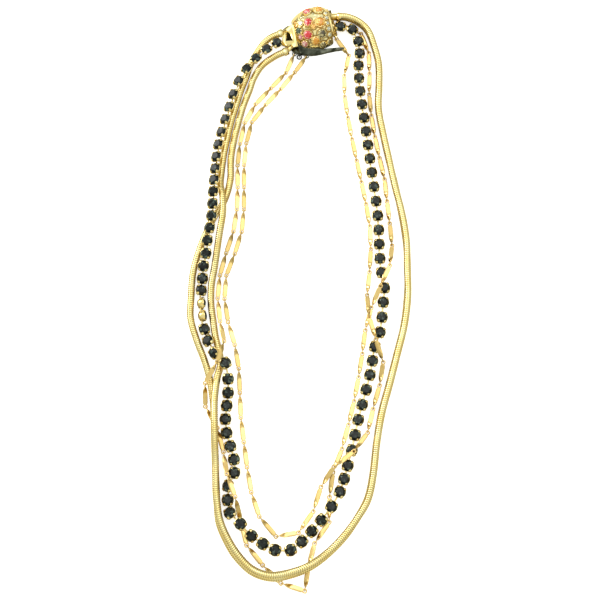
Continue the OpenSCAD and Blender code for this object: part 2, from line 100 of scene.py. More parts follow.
OUTER_SNAKE = np.array([
    [15, 108, 1.8], [18.5, 108, 1.5], [23, 106, 1.4], [26.8, 102.2, 1.4], [29.3, 95.5, 1.4],
    [30.9, 88, 1.4], [30.9, 79, 1.4], [30.5, 69, 1.4], [32, 59, 1.4], [34, 48.5, 1.4], [36.5, 37, 1.4],
    [38.5, 26, 1.4], [40, 15, 1.4], [40.5, 4, 1.4], [40, -7, 1.4], [38.5, -18, 1.4], [35.5, -29.5, 1.4],
    [32.5, -40.5, 1.4], [29.5, -51, 1.4], [27.5, -62, 1.4], [26, -73, 1.4], [24, -81.5, 1.4],
    [20.5, -88, 1.4], [16, -94.5, 1.4], [9.5, -101, 2.0], [3, -105.5, 3.75], [-3.5, -108, 2.8],
    [-10, -109, 3.4], [-17, -107, 1.8], [-23, -101.5, 1.4], [-26.8, -95.3, 1.4], [-29, -90, 1.4],
    [-29.8, -84, 1.4], [-30.2, -78, 1.4], [-30.6, -72, 1.4], [-30.9, -66, 1.5], [-31.1, -60, 3.0],
    [-31.3, -53.5, 3.5], [-32, -46, 1.9], [-33.5, -38, 1.4], [-35.5, -31.5, 1.4], [-38.5, -24, 1.4],
    [-41, -15.5, 1.4], [-41, -7.5, 1.4], [-40.5, 2, 1.4], [-38, 12, 1.4], [-34, 22, 1.4],
    [-29.1, 31, 1.4], [-27.1, 39, 1.4], [-27, 47.5, 1.4], [-26, 55, 1.4], [-24.4, 62.5, 1.4],
    [-22.4, 70, 1.4], [-20.1, 76.5, 1.4], [-18.5, 81.5, 1.6], [-15.2, 86.7, 2.2], [-10, 90.5, 2.8],
    [-5.5, 92.5, 3.2]])

INNER_SNAKE = np.array([
    [15, 106.8, 4.8], [18.5, 106.8, 4.6], [23, 105, 4.3], [26.8, 101.2, 4.2], [29.3, 94, 4.2],
    [30.9, 86.5, 4.2], [30.9, 77.5, 4.2], [30.5, 67.5, 4.2], [32, 57.5, 4.2], [34, 47, 4.2],
    [36, 36, 4.2], [38.5, 25, 4.2], [40, 14, 4.2], [40, 3, 4.2], [40, -7.5, 4.2], [38.5, -18.5, 4.2],
    [35.5, -30, 4.2], [32.5, -41, 4.2], [29.5, -51.5, 4.2], [27.5, -62, 4.2], [26, -73.5, 4.2],
    [24, -82, 4.2], [20.5, -88, 4.2], [15.5, -94.5, 4.2], [9.5, -100.4, 4.9], [2.5, -105, 6.6],
    [-4, -107.2, 5.7], [-11, -108, 6.0], [-17.3, -105.7, 4.4], [-22.4, -100.6, 4.1], [-26.2, -94.6, 4.1],
    [-28.6, -89, 4.1], [-29.6, -83.5, 4.2], [-30.1, -79, 4.2], [-30.3, -74, 4.2], [-30.5, -68.5, 4.3],
    [-30.8, -61, 5.8], [-31, -54, 6.3], [-31.2, -46, 4.9], [-30.5, -38.5, 3.3], [-29.5, -33, 1.5],
    [-30, -28.5, 1.4], [-31.5, -23, 1.4], [-32.5, -17, 1.4], [-33.5, -10, 1.4], [-33.5, -3, 1.4],
    [-32.5, 3.5, 1.9], [-31.5, 10.5, 3.0], [-30.5, 17.5, 4.1], [-29.5, 24.5, 4.4], [-29.7, 31.5, 4.3],
    [-30.7, 36.5, 2.8], [-30.6, 41.5, 1.5], [-29.7, 50, 1.4], [-28.5, 56.5, 1.4], [-27.3, 62.5, 1.4],
    [-25.3, 70, 1.4], [-23.3, 77, 1.4], [-21.5, 82, 1.4], [-20, 87, 1.4], [-18, 91.5, 1.4], [-15, 96, 2],
    [-12, 98.5, 2.8], [-7.5, 100.5, 3.2]])

OUTER_BARS = np.array([
    [-2.4, 92.4, 1.05], [-3.5, 87.5, 1.05], [-9, 80.5, 1.05], [-14.5, 74.5, 1.05], [-20.5, 66.5, 1.05],
    [-23.2, 56.5, 1.05], [-24.4, 45, 1.05], [-24.2, 33, 1.05], [-25, 21, 1.05], [-28, 10.5, 1.05],
    [-30.5, 0.5, 1.05], [-31, -10, 1.05], [-29.7, -18, 1.7], [-28.1, -25, 4.4], [-28.8, -30, 6.4],
    [-31.4, -35, 6.8], [-34.3, -39.5, 5.5], [-35.5, -45, 2.6], [-34, -50.5, 1.05], [-30, -57, 1.05],
    [-28.7, -62.5, 1.05], [-27.5, -66.5, 1.2], [-27, -71, 3.1], [-25.5, -75, 5.3], [-23.7, -79.5, 5.3],
    [-21.8, -86, 2.2], [-21, -91, 1.05], [-18.5, -99, 1.05], [-13, -105, 1.05], [-8, -110, 1.05],
    [-3, -113, 1.05], [1.5, -113.5, 1.05], [4, -110.5, 1.05], [2.5, -104.5, 1.05], [3.5, -99.5, 1.05],
    [8, -93.5, 1.05], [10.8, -88.5, 1.05], [11, -84.5, 1.05], [10.2, -79.5, 1.05], [11.5, -73, 1.05],
    [15, -64, 1.05], [17.7, -54, 1.05], [20.2, -44, 1.05], [22, -34, 1.05], [23.5, -25, 1.05],
    [24.5, -17.5, 1.05], [26.5, -11.5, 1.2], [29.3, -5, 4.2], [32.5, 1.5, 4.6], [34.5, 8, 2.5],
    [34.7, 15, 1.2], [33.5, 27, 1.05], [32.5, 39, 1.05], [30, 51.5, 1.05], [28, 64, 1.05],
    [27, 77, 1.05], [27.5, 89, 1.05], [25.9, 98.3, 1.05], [21.5, 103.8, 1.05], [16.5, 105, 1.05]])

INNER_BARS = np.array([
    [2.5, 91.45, 1.05], [1.5, 87.2, 1.05], [-4, 83, 1.05], [-9, 75.5, 1.05], [-15.5, 68.5, 1.05],
    [-19.5, 62, 1.05], [-21.4, 52, 1.05], [-21.9, 42, 1.05], [-21.6, 30, 1.05], [-22.3, 19, 1.05],
    [-24.8, 10, 1.05], [-28, 1, 1.05], [-28.5, -8, 1.05], [-27, -17, 1.05], [-24, -27, 1.05],
    [-22.5, -37, 1.05], [-22, -50, 1.05], [-20.5, -62, 1.05], [-18.3, -76, 1.05], [-15.7, -86, 1.05],
    [-10.8, -92.9, 1.05], [-6, -96.2, 1.05], [-1.5, -94.2, 1.05], [3, -89, 1.05], [6.2, -82, 1.05],
    [8, -75.5, 1.4], [11, -71.5, 3.6], [14.5, -68.5, 4.2], [18.5, -65.7, 4.2], [22.3, -62, 4.0],
    [24.8, -57, 1.7], [26.5, -49.5, 1.1], [29, -41, 1.3], [30.5, -35, 1.3], [30, -30.5, 4.1],
    [28, -25, 4.3], [26, -18.5, 3.9], [25.2, -13, 3.0], [25, -6.5, 1.4], [26.5, 7, 1.05],
    [26.5, 20, 1.05], [24.5, 33, 1.05], [22, 46, 1.05], [19.5, 59.5, 1.05], [17.5, 73, 1.05],
    [17, 81, 1.05], [19, 89, 1.05], [19, 93.8, 1.05], [17.3, 96.9, 1.05], [14.5, 98.8, 1.05]])

# Rhinestone cups: number along the chain, place, lean outwards in degrees
CUPS = np.array([
    [0, -9.5, 95.5, 3.5, 0], [1, -13.5, 92.5, 4.0, 5], [2, -17.5, 88.5, 4.2, 10], [3, -21, 84, 4.1, 16],
    [4, -24, 79, 3.8, 20], [5, -26, 73.5, 3.5, 24], [7, -29, 63, 3.4, 25], [9, -31.5, 52.5, 3.5, 25],
    [11, -32.5, 42.5, 3.9, 22], [13, -33, 33, 4.6, 16], [15, -33.5, 23.5, 4.0, 12],
    [17, -35, 13.8, 3.8, 8], [18, -35.5, 9, 3.2, 4], [19, -36.5, 4.4, 2.2, 0], [20, -37, -0.3, 1.3, -10],
    [21, -37.5, -5.1, 1.3, -20], [22, -37.5, -10.1, 2.6, -110], [23, -37, -15, 2.6, -110],
    [24, -36, -20, 1.6, -20], [25, -34, -24.5, 2.4, 15], [26, -31.5, -29, 3.5, 40],
    [27, -27.5, -33, 3.8, 0], [28, -26.5, -38.5, 2.6, 0], [29, -26.5, -43.5, 1.1, 0],
    [31, -27.3, -53.3, 1.1, 0], [32, -26.8, -58.3, 1.05, 0], [34, -24, -67.8, 1.0, 0],
    [35, -23.8, -72.6, 1.0, 0], [36, -25.7, -77.3, 1.25, 20], [37, -26, -82.2, 1.0, 0],
    [38, -25, -86.9, 1.8, 0], [39, -21.2, -90.5, 3.4, 0], [40, -17.5, -94.5, 1.9, 0],
    [42, -9, -99.5, 0.95, 0], [43, -3.5, -99.5, 1.0, 0], [45, 4, -93, 1.0, 0], [46, 7.5, -89, 1.5, 0],
    [47, 11, -84.5, 2.9, 0], [48, 14, -79.5, 1.5, 0], [50, 17, -70, 0.95, 0], [51, 18.5, -64.5, 0.95, 0],
    [53, 21, -53.5, 0.95, 0], [56, 25.5, -37, 0.95, 0], [58, 27.5, -26.5, 0.95, 0],
    [59, 29.5, -21, 0.95, 0], [61, 31, -9.5, 0.95, 0], [62, 31.5, -4, 0.95, 0], [63, 30.5, 2, 0.95, 0],
    [64, 30, 7.5, 0.95, 0], [67, 29.5, 24.5, 0.95, 0], [70, 27.5, 42, 0.95, 0], [73, 25.5, 59, 0.95, 0],
    [76, 23.5, 76, 0.95, 0], [78, 23, 87, 0.95, 0], [79, 23.5, 92.2, 1.1, 0], [80, 23, 97.3, 1.6, 0],
    [81, 20.5, 101.8, 2.8, 0], [82, 15.8, 102.8, 3.2, 0]])


def unit(v):
    """Each vector divided by its length."""
    return v / np.linalg.norm(v, axis=-1, keepdims=True)


def steps(points):
    """Length along the straight chords from the first point to each point."""
    return np.concatenate([[0.0], np.cumsum(np.linalg.norm(np.diff(points, axis=0), axis=1))])


def spline(points, knots, at):
    """Cubic Hermite curve through points at their knots; each slope is its two neighbours' chord."""
    n = len(knots)
    before, after = np.maximum(np.arange(n) - 1, 0), np.minimum(np.arange(n) + 1, n - 1)
    slopes = (points[after] - points[before]) / (knots[after] - knots[before])[:, None]
    i = np.clip(np.searchsorted(knots, at, side="right") - 1, 0, n - 2)
    h = (knots[i + 1] - knots[i])[:, None]
    t = ((at - knots[i]) / (knots[i + 1] - knots[i]))[:, None]
    return ((2 * t ** 3 - 3 * t ** 2 + 1) * points[i] + (t ** 3 - 2 * t ** 2 + t) * h * slopes[i]
            + (3 * t ** 2 - 2 * t ** 3) * points[i + 1] + (t ** 3 - t ** 2) * h * slopes[i + 1])


def spread(points, n):
    """The curve through points at n + 1 places evenly spaced in chord length."""
    knots = steps(points)
    return spline(points, knots, np.linspace(0, knots[-1], n + 1))


def level(d):
    """The horizontal unit vector to the left of each direction."""
    return unit(np.cross([0.0, 0.0, 1.0], d))


def turned(d, angle):
    """The level vector turned by an angle in degrees about the direction."""
    s = level(d)
    a = np.radians(angle)
    a = a[..., None] if np.ndim(a) else a
    return np.cos(a) * s + np.sin(a) * np.cross(d, s)


def smoothstep(a, b, x):
    """0 below a, 1 above b, and 3t^2 - 2t^3 between."""
    t = np.clip((x - a) / (b - a), 0, 1)
    return t * t * (3 - 2 * t)


def set_in(shape, x, y, z, o):
    """A local shape (..., 3) put into each frame (k, 3): o + x * shape_x + y * shape_y + z * shape_z."""
    lift = (slice(None),) + (None,) * (shape.ndim - 1)
    return (o[lift] + x[lift] * shape[None, ..., 0:1] + y[lift] * shape[None, ..., 1:2]
            + z[lift] * shape[None, ..., 2:3])


def circle(n, shift=0.0):
    """n angles evenly spaced round a circle, the first of them shift steps from 0."""
    return 2 * np.pi * (np.arange(n) + shift) / n


def rounded(n, power):
    """n corners of a super-ellipse: signed cosine and sine of the angle, raised to a power."""
    a = circle(n, 0.5)
    c, s = np.cos(a), np.sin(a)
    return np.sign(c) * np.abs(c) ** power, np.sign(s) * np.abs(s) ** power


# Meshes

def tubes(rings, closed=False):
    """Faces of tubes given as corners (tube, station, corner, xyz), with a fan over each open end."""
    t, n, m = rings.shape[:3]
    index = np.arange(t * n * m).reshape(t, n, m)
    if closed:
        here, there = index, np.roll(index, -1, 1)
    else:
        here, there = index[:, :-1], index[:, 1:]
    quads = np.stack([here, np.roll(here, -1, 2), np.roll(there, -1, 2), there], -1).reshape(-1, 4)
    fans = np.zeros((0, 3), int)
    if not closed:
        first, last = index[:, 0][:, ::-1], index[:, -1]
        fans = np.concatenate([
            np.stack([np.repeat(e[:, :1], m - 2, 1), e[:, 1:-1], e[:, 2:]], -1).reshape(-1, 3)
            for e in (first, last)])
    return rings.reshape(-1, 3), quads, fans


def set_shading(mesh, sharp):
    """Smooth shading with edges sharp above an angle in degrees, or flat shading for None."""
    mesh.polygons.foreach_set("use_smooth", np.full(len(mesh.polygons), sharp is not None))
    if sharp is not None:
        mesh.set_sharp_from_angle(angle=math.radians(sharp))


def piece(name, parts, material, replaces, sharp=None, marks=None):
    """One mesh of several (vertices, quads, triangles), riding on the root body. Each of the marks is
    an attribute with a value for every vertex or every face."""
    offset, verts, faces = 0, [], []
    for v, quads, fans in parts:
        verts.append(v)
        faces.extend((quads + offset).tolist())
        faces.extend((fans + offset).tolist())
        offset += len(v)
    mesh = bpy.data.meshes.new(name)
    mesh.from_pydata(((np.concatenate(verts) + LAID) * MM).tolist(), [], faces)
    for key, values in (marks or {}).items():
        layer = mesh.attributes.new(key, "FLOAT", "POINT" if len(values) == offset else "FACE")
        layer.data.foreach_set("value", np.asarray(values, np.float32))
    set_shading(mesh, sharp)
    mesh.validate()
    mesh.materials.append(material)
    obj = placed(name, mesh)
    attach(obj, "root")
    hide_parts(*replaces)


def softened(node, name, material, painted_shade_height=None):
    """A merged and smoothly shaded copy of a CAD node; faces that look up at the given height, in
    millimetres, are marked as groove, which paints them with the material's dark shade colour as
    painted shade."""
    merge, sharp, upward, within = 2e-6, 38.0, 0.9, 1e-4
    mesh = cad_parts[node].data.copy()
    mesh.name = name
    work = bmesh.new()
    work.from_mesh(mesh)
    bmesh.ops.remove_doubles(work, verts=work.verts, dist=merge)
    work.to_mesh(mesh)
    work.free()
    mesh.materials.clear()
    mesh.materials.append(material)
    set_shading(mesh, sharp)
    # Faces of the recess floor get the painted shade
    if painted_shade_height is not None:
        deep = [float(f.normal.z > upward and abs(f.center.z - painted_shade_height * MM) < within)
                for f in mesh.polygons]
        mesh.attributes.new("groove", "FLOAT", "FACE").data.foreach_set("value", deep)
    obj = placed(name, mesh)
    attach(obj, "root")
    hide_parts(node)


# Materials

def group_tone():
    """Cloudy mix of two tones: noise of the place, stretched in contrast, mixes Light and Deep."""
    g = bpy.data.node_groups.new("plating tone", "ShaderNodeTree")
    for label, kind in (("Light", "NodeSocketColor"), ("Deep", "NodeSocketColor"),
                        ("Scale", "NodeSocketFloat")):
        g.interface.new_socket(label, in_out="INPUT", socket_type=kind)
    g.interface.new_socket("Color", in_out="OUTPUT", socket_type="NodeSocketColor")
    g.interface.new_socket("Mask", in_out="OUTPUT", socket_type="NodeSocketFloat")
    n, link = g.nodes, g.links.new
    inp, out = n.new("NodeGroupInput"), n.new("NodeGroupOutput")
    place, cloud = n.new("ShaderNodeTexCoord"), n.new("ShaderNodeTexNoise")
    ramp, mix = n.new("ShaderNodeMapRange"), n.new("ShaderNodeMix")
    cloud.inputs["Detail"].default_value = 3.0
    mix.data_type = "RGBA"
    ramp.inputs["From Min"].default_value = 0.35
    ramp.inputs["From Max"].default_value = 0.65
    link(place.outputs["Object"], cloud.inputs["Vector"])
    link(inp.outputs["Scale"], cloud.inputs["Scale"])
    link(cloud.outputs["Fac"], ramp.inputs["Value"])
    link(ramp.outputs["Result"], mix.inputs["Factor"])
    link(inp.outputs["Light"], mix.inputs["A"])
    link(inp.outputs["Deep"], mix.inputs["B"])
    link(mix.outputs["Result"], out.inputs["Color"])
    link(ramp.outputs["Result"], out.inputs["Mask"])
    return g


def group_hairlines():
    """Fine wear: two noises, one stretched along X and one along Y, added as a height."""
    g = bpy.data.node_groups.new("hairlines", "ShaderNodeTree")
    g.interface.new_socket("Scale", in_out="INPUT", socket_type="NodeSocketFloat")
    g.interface.new_socket("Height", in_out="OUTPUT", socket_type="NodeSocketFloat")
    n, link = g.nodes, g.links.new
    inp, out = n.new("NodeGroupInput"), n.new("NodeGroupOutput")
    place, add = n.new("ShaderNodeTexCoord"), n.new("ShaderNodeMath")
    for i, stretch in enumerate(((1.0, 0.15, 1.0), (0.2, 1.0, 1.0))):
        turn, noise = n.new("ShaderNodeMapping"), n.new("ShaderNodeTexNoise")
        turn.inputs["Scale"].default_value = stretch
        turn.inputs["Rotation"].default_value = (0.0, 0.0, 0.6 + i)
        noise.inputs["Detail"].default_value = 2.0
        link(place.outputs["Object"], turn.inputs["Vector"])
        link(turn.outputs["Vector"], noise.inputs["Vector"])
        link(inp.outputs["Scale"], noise.inputs["Scale"])
        link(noise.outputs["Fac"], add.inputs[i])
    link(add.outputs[0], out.inputs["Height"])
    return g


TONE, HAIRLINES = group_tone(), group_hairlines()


def blank(name):
    """A new node material with its shader and node tools."""
    m = bpy.data.materials.new(name)
    m.use_nodes = True
    return m, m.node_tree.nodes, m.node_tree.links.new, m.node_tree.nodes["Principled BSDF"]


def tone(n, light, deep, scale):
    """The plating tone group with its own values."""
    node = n.new("ShaderNodeGroup")
    node.node_tree = TONE
    node.inputs["Light"].default_value = (*light, 1.0)
    node.inputs["Deep"].default_value = (*deep, 1.0)
    node.inputs["Scale"].default_value = scale
    return node


def wear(n, link, shader, strength, dents=0.0):
    """Hairlines through a Bump node into the shader's normal, over rounded dents where asked."""
    dent_scale, dent_depth, line_scale, line_depth = 900.0, 0.0004, 2500.0, 0.00002
    lines, bump = n.new("ShaderNodeGroup"), n.new("ShaderNodeBump")
    if dents:
        place, cells = n.new("ShaderNodeTexCoord"), n.new("ShaderNodeTexVoronoi")
        hollow = n.new("ShaderNodeBump")
        cells.inputs["Scale"].default_value = dent_scale
        cells.feature = "SMOOTH_F1"
        hollow.inputs["Strength"].default_value = dents
        hollow.inputs["Distance"].default_value = dent_depth
        link(place.outputs["Object"], cells.inputs["Vector"])
        link(cells.outputs["Distance"], hollow.inputs["Height"])
        link(hollow.outputs["Normal"], bump.inputs["Normal"])
    lines.node_tree = HAIRLINES
    lines.inputs["Scale"].default_value = line_scale
    bump.inputs["Strength"].default_value = strength
    bump.inputs["Distance"].default_value = line_depth
    link(lines.outputs["Height"], bump.inputs["Height"])
    link(bump.outputs["Normal"], shader.inputs["Normal"])


def spread_rough(n, link, shader, source, low, high):
    """Roughness from low to high by a mask."""
    to = n.new("ShaderNodeMapRange")
    to.inputs["To Min"].default_value = low
    to.inputs["To Max"].default_value = high
    link(source, to.inputs["Value"])
    link(to.outputs["Result"], shader.inputs["Roughness"])


def metal(name, light, deep, scale=260.0, rough=(0.1, 0.24), scratch=0.12):
    """Plated metal: two tones in clouds, roughness that follows them, and hairline wear."""
    m, n, link, shader = blank(name)
    shader.inputs["Metallic"].default_value = 1.0
    t = tone(n, light, deep, scale)
    link(t.outputs["Color"], shader.inputs["Base Color"])
    spread_rough(n, link, shader, t.outputs["Mask"], *rough)
    wear(n, link, shader, scratch)
    return m


def marked_metal(name, light, deep, shade, rough=(0.16, 0.45), dents=0.0):
    """Plated metal whose tone darkens to shade, and whose roughness rises, with the groove mark:
    painted shade in the snake chains' grooves, on the dome beside its settings and on a recess floor,
    and each bar link's own random tone.
    """
    scale, scratch = 200.0, 0.1
    m, n, link, shader = blank(name)
    shader.inputs["Metallic"].default_value = 1.0
    t = tone(n, light, deep, scale)
    mark, mix = n.new("ShaderNodeAttribute"), n.new("ShaderNodeMix")
    mark.attribute_name = "groove"
    mix.data_type = "RGBA"
    mix.inputs["B"].default_value = (*shade, 1.0)
    link(mark.outputs["Fac"], mix.inputs["Factor"])
    link(t.outputs["Color"], mix.inputs["A"])
    link(mix.outputs["Result"], shader.inputs["Base Color"])
    spread_rough(n, link, shader, mark.outputs["Fac"], *rough)
    wear(n, link, shader, scratch, dents)
    return m


def glass(name, light, deep, gleam, rough=0.05, metallic=0.0, coat=0.6, ior=1.6, gleam_from=0.6):
    """Foil-backed cut glass with painted sparkle: each facet takes its own mix of light and deep by
    its mark, a painted reflection, and facets marked above gleam_from take the gleam colour, a
    painted highlight. The light tone is a little darker in clouds, where the glass is rougher too."""
    scale, cloud_tone, cloud_rough, coat_rough = 900.0, 0.8, 0.06, 0.03
    m, n, link, shader = blank(name)
    shader.inputs["Metallic"].default_value = metallic
    shader.inputs["IOR"].default_value = ior
    shader.inputs["Coat Weight"].default_value = coat
    shader.inputs["Coat Roughness"].default_value = coat_rough
    mark, mix, spark, over = (n.new("ShaderNodeAttribute"), n.new("ShaderNodeMix"),
                              n.new("ShaderNodeMapRange"), n.new("ShaderNodeMix"))
    mark.attribute_name = "facet"
    mix.data_type = over.data_type = "RGBA"
    t = tone(n, light, tuple(cloud_tone * c for c in light), scale)
    mix.inputs["A"].default_value = (*deep, 1.0)
    over.inputs["B"].default_value = (*gleam, 1.0)
    spark.inputs["From Min"].default_value = gleam_from
    spark.inputs["From Max"].default_value = 1.0
    link(mark.outputs["Fac"], mix.inputs["Factor"])
    link(t.outputs["Color"], mix.inputs["B"])
    link(mark.outputs["Fac"], spark.inputs["Value"])
    link(mix.outputs["Result"], over.inputs["A"])
    link(spark.outputs["Result"], over.inputs["Factor"])
    link(over.outputs["Result"], shader.inputs["Base Color"])
    spread_rough(n, link, shader, t.outputs["Mask"], rough, rough + cloud_rough)
    return m


GOLD = metal("pale polished gold", (1.0, 0.82, 0.43), (0.88, 0.64, 0.25))
BAR_GOLD = marked_metal("bright bar gold", (0.91, 0.66, 0.30), (0.84, 0.55, 0.21), (0.50, 0.35, 0.13),
                        rough=(0.1, 0.3))
CUP_GOLD = metal("cup chain gold", (0.93, 0.76, 0.38), (0.76, 0.57, 0.21), scale=500.0,
                 rough=(0.12, 0.28))
# Its shade colour is the painted shade in the snake chains' grooves
RIB_GOLD = marked_metal("snake chain gold", (1.0, 0.86, 0.46), (0.98, 0.76, 0.32), (0.24, 0.13, 0.02))
# Its shade colour is the painted shade on the dome beside the settings
DOME_GOLD = marked_metal("cast dome gold", (1.0, 0.90, 0.54), (0.97, 0.73, 0.30), (0.28, 0.14, 0.025),
                         rough=(0.1, 0.32), dents=0.6)
# Its near-black shade colour is painted shade on the floor of the left end frame's recess
FRAME_GOLD = marked_metal("end frame gold", (1.0, 0.86, 0.46), (0.93, 0.72, 0.30), (0.03, 0.025, 0.015))
STEEL = metal("gunmetal plate", (0.11, 0.115, 0.09), (0.015, 0.018, 0.012), scale=420.0,
              rough=(0.2, 0.4), scratch=0.25)
# For each glass, the gleam colour is a painted highlight, and the facets' mix of light and deep is
# painted reflection
JET = glass("jet glass", (0.020, 0.027, 0.025), (0.002, 0.002, 0.003), (0.12, 0.17, 0.155),
            rough=0.06, coat=0.0, ior=1.33, gleam_from=0.72)
RED = glass("red glass", (0.88, 0.03, 0.05), (0.55, 0.004, 0.012), (1.0, 0.55, 0.58), gleam_from=0.7)
ROSE = glass("rose glass", (0.85, 0.36, 0.36), (0.55, 0.13, 0.15), (1.0, 0.80, 0.78))
OLIVE = glass("dark olive glass", (0.06, 0.09, 0.05), (0.008, 0.014, 0.008), (0.22, 0.30, 0.22))
AMBER = glass("amber glass", (0.98, 0.46, 0.03), (0.66, 0.24, 0.005), (1.0, 0.74, 0.25), gleam_from=0.7)
SMOKE = glass("smoke glass", (0.24, 0.17, 0.06), (0.03, 0.022, 0.012), (0.50, 0.42, 0.20))
ICE = glass("clear foiled glass", (0.80, 0.80, 0.72), (0.34, 0.34, 0.28), (1.0, 1.0, 0.97),
            metallic=0.35)
TOPAZ = metal("amber bead", (0.80, 0.42, 0.10), (0.50, 0.22, 0.03), scale=900.0, rough=(0.08, 0.16),
              scratch=0.05)


# Snake chains

RIB, RIB_DEPTH, RIB_POWER = 0.75, 0.16, 0.8
RIB_SIDES, RIB_SAMPLES = 16, 4
# How strongly and how sharply each rib's groove is painted with shade
GROOVE_SHADE, GROOVE_POWER = 1.35, 1.4
SNAKE_END_INSET, SNAKE_SHARP = 0.05, 75.0


def snake_chain(name, route, node):
    """Round chain of ribs. The radius dips by RIB_DEPTH in a groove at every rib; on each of four
    sides the groove slants half a rib, so the ribs meet in a zig-zag. Each groove is painted darker
    as well, as painted shade."""
    knots = steps(route)
    n = int(round(knots[-1] / RIB)) * RIB_SAMPLES
    centre = spline(route, knots, np.linspace(0, knots[-1], n + 1))
    d = unit(np.gradient(centre, axis=0))
    side, up = level(d), np.cross(d, level(d))
    a = circle(RIB_SIDES, 0.5)
    slant = np.abs(((4 * a / (2 * np.pi)) % 1.0) * 2 - 1) * 0.5
    phase = steps(centre)[:, None] / RIB + slant[None, :]
    crown = np.abs(np.sin(np.pi * phase)) ** RIB_POWER
    r = SNAKE_R - RIB_DEPTH * (1 - crown)
    r[[0, -1]] = SNAKE_R - SNAKE_END_INSET
    rings = (centre[:, None] + r[..., None] * (np.cos(a)[None, :, None] * side[:, None]
                                              + np.sin(a)[None, :, None] * up[:, None]))
    # Painted shade in the grooves, deepest at their bottoms
    groove = np.clip(GROOVE_SHADE * (1 - crown) ** GROOVE_POWER, 0, 1)
    piece(name, [tubes(rings[None])], RIB_GOLD, (node,), SNAKE_SHARP,
          {"groove": groove.reshape(-1)})


snake_chain("snake_ribs_outer", OUTER_SNAKE, "snake_chain_outer")
snake_chain("snake_ribs_inner", INNER_SNAKE, "snake_chain_inner")


# Bar chains

STRIP_STATIONS, STRIP_CORNERS, STRIP_POWER = 20, 12, 0.62
EYE_STATIONS, EYE_CORNERS, EYE_POWER = 20, 8, 0.7
BAR_SHARP = 50.0

# Where a strip starts, what both ends take off its length, and how much closer its stations are there
STRIP_START, STRIP_MARGINS, STRIP_EASE = 0.72, 1.36, 0.35

# Half a strip's width at its ends, where it widens from its first and its last eye, and the most that
# it turns, in quarter turns
STRIP_NARROW, WIDENS_FIRST, WIDENS_LAST, TURN_MOST = 0.5, (0.6, 1.5), (0.5, 1.3), 0.96

# How much thicker a strip is where it stands on edge, and the share of its length in which that goes
EDGE_THICKER, EDGE_RANGE = 0.95, (0.05, 0.4)

# Inner radius and reach of the flat eyes, and the powers of both kinds of eyes' outlines
FLAT_EYE_I, FLAT_EYE_O, ROUND, SQUARISH = 0.42, 0.86, 2.0, 3.2

# Contrast of the links' own shades
LINK_POWER = 1.6


def bar_ends(joints):
    """First centre, last centre and direction of each bar; each first eye sits on the wire of the eye
    before."""
    firsts, dirs, normal = [], [], np.array([0.0, 0.0, 1.0])
    for here, there in zip(joints[:-1], joints[1:]):
        way = there - here
        first = here + EYE_GAP * unit(way - normal * (way @ normal))
        d = unit(there - first)
        firsts.append(first)
        dirs.append(d)
        normal = np.cross(d, turned(d, 0.0))
    return np.array(firsts), joints[1:], np.array(dirs)


def bar_strips(a, b, d):
    """Twisted strips. Each starts on edge and thick, turns a quarter by TWIST_END and goes on flat."""
    length = np.linalg.norm(b - a, axis=1)[:, None]
    t = np.linspace(0, 1, STRIP_STATIONS)
    u = STRIP_EASE * smoothstep(0, 1, t)[None, :] + (1 - STRIP_EASE) * t[None, :]
    at = STRIP_START + (length - STRIP_MARGINS) * u
    half = STRIP_NARROW + ((BAR_W / 2 - STRIP_NARROW) * smoothstep(*WIDENS_FIRST, at)
                           * smoothstep(*WIDENS_LAST, length - at))
    thin = BAR_T / 2 * (1 + EDGE_THICKER * (1 - smoothstep(*EDGE_RANGE, at / length)))
    y = turned(d[:, None], -90.0 + 90.0 * np.minimum(TURN_MOST, at / length / TWIST_END))
    z = np.cross(np.broadcast_to(d[:, None], y.shape), y)
    c, s = rounded(STRIP_CORNERS, STRIP_POWER)
    flat = c[None, None, :, None] * half[..., None, None] * y[:, :, None]
    thick = s[None, None, :, None] * thin[..., None, None] * z[:, :, None]
    spine = (a[:, None] + d[:, None] * at[..., None])[:, :, None]
    return tubes(spine + flat + thick)


def eyes(centre, x, y, inner, reach, power):
    """End rings: a rounded section carried round an outline whose radius is reach over the power norm
    of the angle's cosine and sine, round at power 2 and squarish above it."""
    a = circle(EYE_STATIONS)
    c, s = rounded(EYE_CORNERS, EYE_POWER)
    outer = reach / (np.abs(np.cos(a)) ** power + np.abs(np.sin(a)) ** power) ** (1 / power)
    r = (outer[:, None] + inner) / 2 + c[None, :] * (outer[:, None] - inner) / 2
    shape = np.stack([np.cos(a)[:, None] * r, np.sin(a)[:, None] * r,
                      np.broadcast_to(-s * EYE_T / 2, r.shape)], -1)
    return tubes(set_in(shape, x, y, np.cross(x, y), centre), closed=True)


def bar_chain(name, route, links, node):
    """Links of one bar each: a round upright ring, a twisted strip and a squarish flat ring. Each
    link has its own shade, and few are dark."""
    a, b, d = bar_ends(spread(route, links))
    upright = eyes(a, d, turned(d, -90.0), EYE_I, EYE_O, ROUND)
    level_end = eyes(b, d, turned(d, 0.0), FLAT_EYE_I, FLAT_EYE_O, SQUARISH)
    parts = [bar_strips(a, b, d), upright, level_end]
    own = np.random.default_rng(links).random(links) ** LINK_POWER
    marks = np.concatenate([np.repeat(own, len(verts) // links) for verts, _, _ in parts])
    piece(name, parts, BAR_GOLD, (node,), BAR_SHARP, {"groove": marks})


bar_chain("bar_links_outer", OUTER_BARS, OUTER_LINKS, "bar_chain_outer")
bar_chain("bar_links_inner", INNER_BARS, INNER_LINKS, "bar_chain_inner")


# Cut stones and cups

# First mark of each kind of facet of a brilliant, and how many marks a stone has
STARS, KITES, GIRDLE, BAND, PAVILION, FOOT, TABLE, MARKS = 1, 9, 17, 33, 49, 57, 58, 66

# Share of the middle radius at which the stars' tips lie, and of the stone's radius at its foot
TIP_SHARE, FOOT_SHARE = 0.995, 0.35

# Contrast of the facets' marks of painted reflection, and how far left of a stone's centre, in mean
# radii, its painted glint is full
MARK_POWER, GLINT_FULL = 1.4, 0.8


